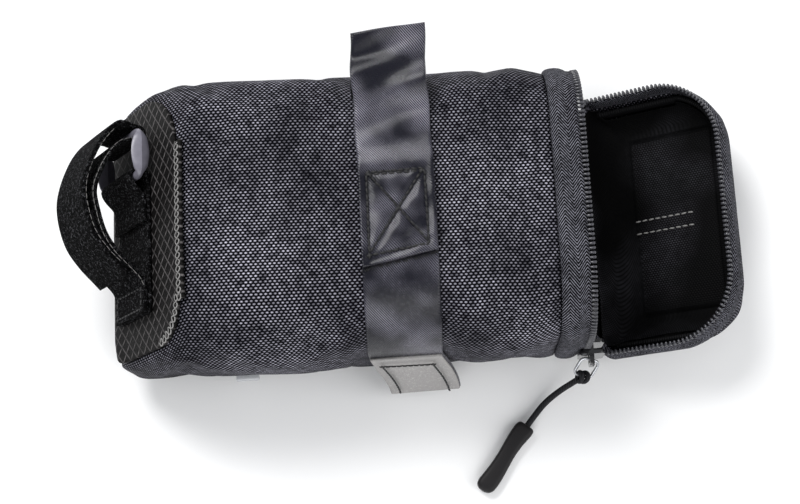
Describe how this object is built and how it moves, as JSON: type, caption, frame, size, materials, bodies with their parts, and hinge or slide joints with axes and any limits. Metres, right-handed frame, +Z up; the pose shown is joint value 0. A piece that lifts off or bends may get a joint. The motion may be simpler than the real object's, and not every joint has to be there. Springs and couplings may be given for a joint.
{
  "type": "bicycle saddle bag",
  "caption": "Small padded fabric bicycle saddle bag with a zipped drop-down rear flap, a ringed seatpost strap and hook-and-loop rail straps.",
  "frame": {"origin": "on the base's flat rest face, midway across the bag and straight below the middle of the rail straps", "axes": "+X towards the zipped rear end, +Y towards the side away from the zip slider, +Z up"},
  "size_m": [0.2353, 0.1484, 0.072],
  "materials": {
    "ballistic_fabric": "black-navy heavy basket-weave nylon with a slight coating sheen",
    "ripstop_laminate": "charcoal laminate with a fine diagonal thread grid",
    "foam": "soft closed-cell foam",
    "lining_fabric": "plain black coated lining",
    "binding_tape": "ribbed black edge binding",
    "zip_tape": "black herringbone zip tape",
    "zip_coil": "moulded nylon coil",
    "slider_metal": "gloss black enamel",
    "pull_cord": "braided black cord",
    "grip_rubber": "matte soft moulded rubber",
    "satin_webbing": "smooth twill webbing with a satin sheen",
    "hook_tape": "black hook fastener",
    "loop_tape": "brushed loop fastener",
    "pile_webbing": "brushed loop-pile webbing",
    "ring_plastic": "semi-gloss moulded plastic",
    "plain_webbing": "ribbed black webbing",
    "reflective_tape": "bare silver-grey reflective tape"
  },
  "bodies": {
    "body": {"body_shell": "ballistic_fabric", "base_panel": "ballistic_fabric", "front_panel": "ripstop_laminate", "body_foam": "foam", "body_lining": "lining_fabric", "body_binding": "binding_tape", "body_zip_tape": "zip_tape", "body_zip_coil": "zip_coil", "body_zip_stop": "zip_coil", "side_tab": "reflective_tape", "rail_strap_far": "satin_webbing", "rail_strap_near": "satin_webbing", "ring_tab": "pile_webbing", "seatpost_strap": "pile_webbing", "strap_ring": "ring_plastic"},
    "flap": {"flap_cap": "ballistic_fabric", "flap_zip_tape": "zip_tape", "flap_zip_coil": "zip_coil", "flap_zip_stop": "zip_coil", "flap_binding": "binding_tape", "flap_foam": "foam", "flap_lining": "lining_fabric", "light_loop": "plain_webbing"},
    "slider": {"zip_slider": "slider_metal"},
    "puller": {"pull_ring": "slider_metal", "pull_cord": "pull_cord", "pull_grip": "grip_rubber"},
    "post_tail": {"seatpost_strap_tail": "pile_webbing", "tail_hook_patch": "hook_tape"},
    "far_end": {"rail_strap_far_end": "satin_webbing", "far_hook_patch": "hook_tape"},
    "near_end": {"rail_strap_near_end": "satin_webbing", "near_loop_patch": "loop_tape"}
  },
  "joints": [
    {"name": "flap_hinge", "type": "hinge", "parent": "body", "child": "flap", "pos_m": [0.064, 0, 0.01152], "axis": [0, 1, 0], "range_deg": [-60, 40]},
    {"name": "zip_slide", "type": "slide", "parent": "body", "child": "slider", "axis": [0, 0, 1], "range_m": [0, 0.014]},
    {"name": "pull_swing", "type": "hinge", "parent": "slider", "child": "puller", "pos_m": [0.064, -0.04995, 0.02189], "axis": [-1, 0, 0], "range_deg": [0, 90]},
    {"name": "post_tail_peel", "type": "hinge", "parent": "body", "child": "post_tail", "pos_m": [-0.09688, 0.03445, 0.04324], "axis": [-0.5329, 0, -0.8462], "range_deg": [0, 70]},
    {"name": "far_end_lift", "type": "hinge", "parent": "body", "child": "far_end", "pos_m": [0, 0.03, 0.068], "axis": [1, 0, 0], "range_deg": [0, 100]},
    {"name": "near_end_lift", "type": "hinge", "parent": "body", "child": "near_end", "pos_m": [0, -0.03763, 0.06339], "axis": [-1, 0, 0], "range_deg": [0, 150]}
  ]
}
